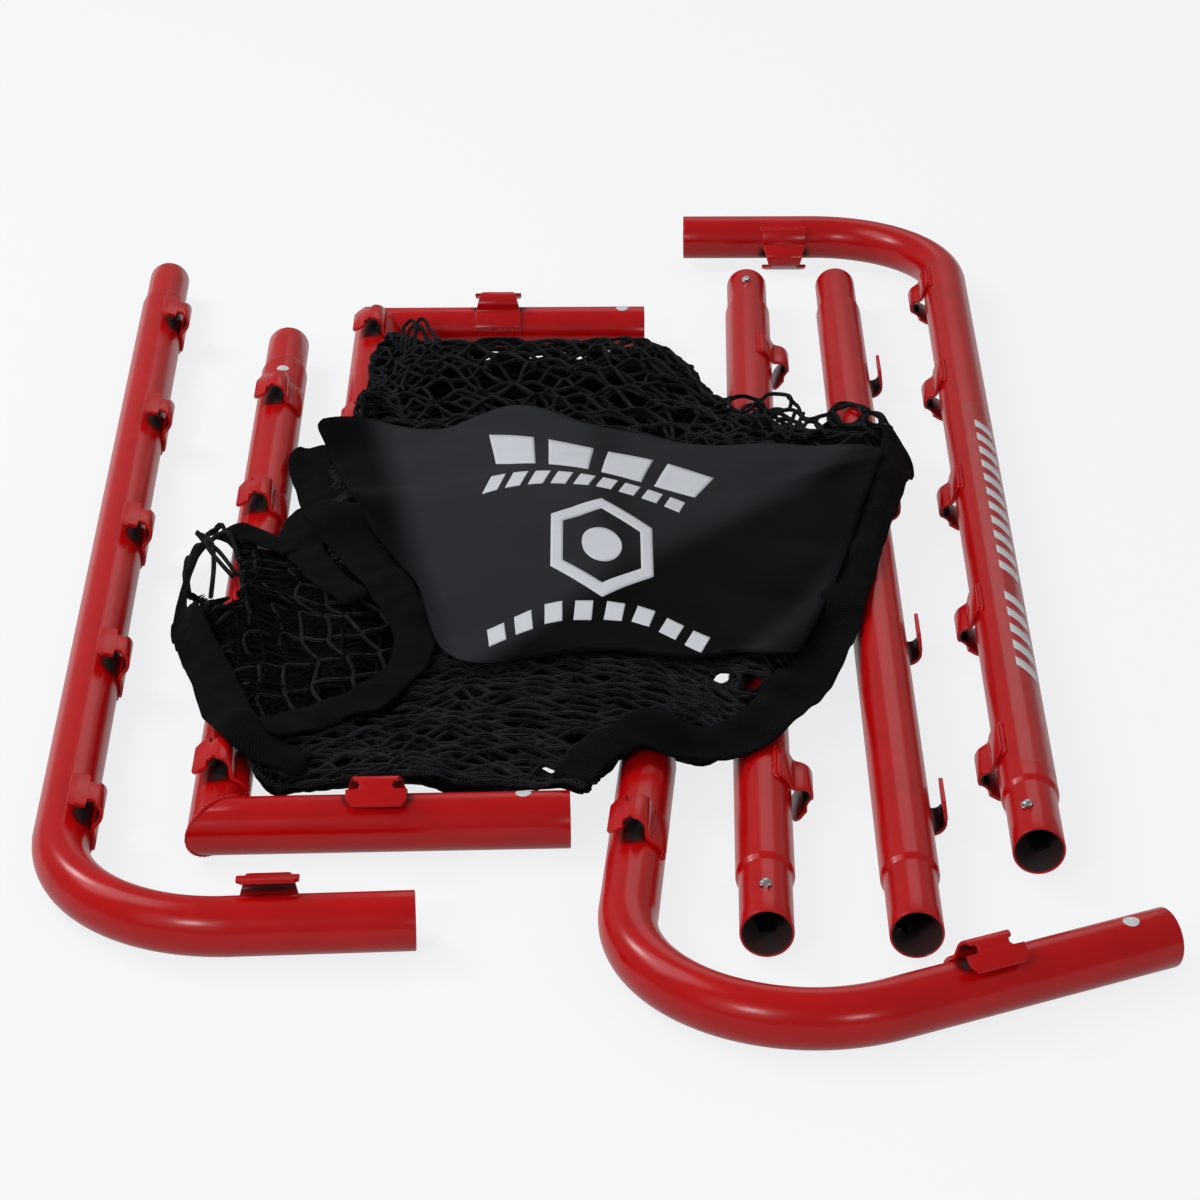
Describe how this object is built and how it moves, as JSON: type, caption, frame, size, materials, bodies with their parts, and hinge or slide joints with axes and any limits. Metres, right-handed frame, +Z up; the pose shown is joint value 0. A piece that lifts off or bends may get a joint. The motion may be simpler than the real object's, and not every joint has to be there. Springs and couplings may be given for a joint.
{
  "type": "sports goal",
  "caption": "Knocked-down steel sports goal laid out on the floor: plug-and-socket frame tubes with welded net clips and snap buttons, and the heaped net with its smooth panel.",
  "frame": {"origin": "centre of the layout's footprint, on the floor", "axes": "+X to the viewer's right, +Y away from the viewer along the long base rails, +Z up"},
  "size_m": [0.9918, 1.7446, 0.1057],
  "materials": {
    "powder_coat": "semi-gloss red powder coat, scorched grey at the clip welds",
    "chrome": "bright plated snap buttons",
    "spring_steel": "dark tempered leaf springs",
    "netting": "black braided cord",
    "border_knit": "black knitted border sleeve",
    "panel_vinyl": "charcoal coated cloth with a white print"
  },
  "bodies": {
    "frame_tubes": {"left_post": "powder_coat", "left_post_clip_1": "powder_coat", "left_post_clip_2": "powder_coat", "left_post_clip_3": "powder_coat", "left_post_clip_4": "powder_coat", "left_post_lower_spring": "spring_steel", "left_post_upper_spring": "spring_steel", "lower_crossbar_corner": "powder_coat", "lower_crossbar_corner_clip_1": "powder_coat", "lower_crossbar_corner_clip_2": "powder_coat", "lower_crossbar_corner_clip_3": "powder_coat", "lower_crossbar_corner_clip_4": "powder_coat", "lower_crossbar_corner_short_clip": "powder_coat", "lower_crossbar_corner_spring": "spring_steel", "rear_apex": "powder_coat", "rear_apex_clip": "powder_coat", "rear_apex_short_clip": "powder_coat", "right_post": "powder_coat", "right_post_clip_1": "powder_coat", "right_post_clip_2": "powder_coat", "right_post_clip_3": "powder_coat", "right_post_clip_4": "powder_coat", "right_post_lower_spring": "spring_steel", "right_post_upper_spring": "spring_steel", "upper_crossbar_corner": "powder_coat", "upper_crossbar_corner_clip_1": "powder_coat", "upper_crossbar_corner_clip_2": "powder_coat", "upper_crossbar_corner_clip_3": "powder_coat", "upper_crossbar_corner_short_clip": "powder_coat"},
    "left_rail": {"left_base_rail": "powder_coat", "left_base_rail_clip_1": "powder_coat", "left_base_rail_clip_2": "powder_coat", "left_base_rail_clip_3": "powder_coat", "left_base_rail_clip_4": "powder_coat", "left_base_rail_clip_5": "powder_coat", "left_base_rail_short_clip": "powder_coat", "left_base_rail_spring": "spring_steel"},
    "right_rail": {"right_base_rail": "powder_coat", "right_base_rail_clip_1": "powder_coat", "right_base_rail_clip_2": "powder_coat", "right_base_rail_clip_3": "powder_coat", "right_base_rail_clip_4": "powder_coat", "right_base_rail_clip_5": "powder_coat", "right_base_rail_short_clip": "powder_coat", "right_base_rail_spring": "spring_steel"},
    "net": {"net_border_inner": "border_knit", "net_border_left": "border_knit", "net_border_right": "border_knit", "net_netting": "netting", "net_panel": "panel_vinyl"},
    "left_base_rail_button": {"left_base_rail_button": "chrome"},
    "left_post_lower_button": {"left_post_lower_button": "chrome"},
    "left_post_upper_button": {"left_post_upper_button": "chrome"},
    "lower_crossbar_corner_button": {"lower_crossbar_corner_button": "chrome"},
    "right_base_rail_button": {"right_base_rail_button": "chrome"},
    "right_post_lower_button": {"right_post_lower_button": "chrome"},
    "right_post_upper_button": {"right_post_upper_button": "chrome"}
  },
  "joints": [
    {"name": "net_lift", "type": "slide", "parent": "frame_tubes", "child": "net", "axis": [0, 0, 1], "range_m": [0, 0.25]},
    {"name": "left_rail_lift", "type": "slide", "parent": "frame_tubes", "child": "left_rail", "axis": [0, 0, 1], "range_m": [0, 0.25]},
    {"name": "right_rail_lift", "type": "slide", "parent": "frame_tubes", "child": "right_rail", "axis": [0, 0, 1], "range_m": [0, 0.25]},
    {"name": "left_base_rail_button_press", "type": "slide", "parent": "left_rail", "child": "left_base_rail_button", "axis": [0.5733, 0.019, -0.8192], "range_m": [-0.006, 0], "stiffness_N_per_m": 2500, "springref_m": 0.002, "deforming": ["left_base_rail_spring"]},
    {"name": "left_post_lower_button_press", "type": "slide", "parent": "frame_tubes", "child": "left_post_lower_button", "axis": [-0.0436, 0.0012, 0.999], "range_m": [-0.006, 0], "stiffness_N_per_m": 2500, "springref_m": 0.002, "deforming": ["left_post_lower_spring"]},
    {"name": "left_post_upper_button_press", "type": "slide", "parent": "frame_tubes", "child": "left_post_upper_button", "axis": [-0.0436, 0.0012, 0.999], "range_m": [-0.006, 0], "stiffness_N_per_m": 2500, "springref_m": 0.002, "deforming": ["left_post_upper_spring"]},
    {"name": "lower_crossbar_corner_button_press", "type": "slide", "parent": "frame_tubes", "child": "lower_crossbar_corner_button", "axis": [0.6427, 0.0112, -0.766], "range_m": [-0.006, 0], "stiffness_N_per_m": 2500, "springref_m": 0.002, "deforming": ["lower_crossbar_corner_spring"]},
    {"name": "right_base_rail_button_press", "type": "slide", "parent": "right_rail", "child": "right_base_rail_button", "axis": [-0.3419, 0.009, 0.9397], "range_m": [-0.006, 0], "stiffness_N_per_m": 2500, "springref_m": 0.002, "deforming": ["right_base_rail_spring"]},
    {"name": "right_post_lower_button_press", "type": "slide", "parent": "frame_tubes", "child": "right_post_lower_button", "axis": [-0.5446, 0.0077, -0.8387], "range_m": [-0.006, 0], "stiffness_N_per_m": 2500, "springref_m": 0.002, "deforming": ["right_post_lower_spring"]},
    {"name": "right_post_upper_button_press", "type": "slide", "parent": "frame_tubes", "child": "right_post_upper_button", "axis": [-0.5446, 0.0077, -0.8387], "range_m": [-0.006, 0], "stiffness_N_per_m": 2500, "springref_m": 0.002, "deforming": ["right_post_upper_spring"]}
  ]
}
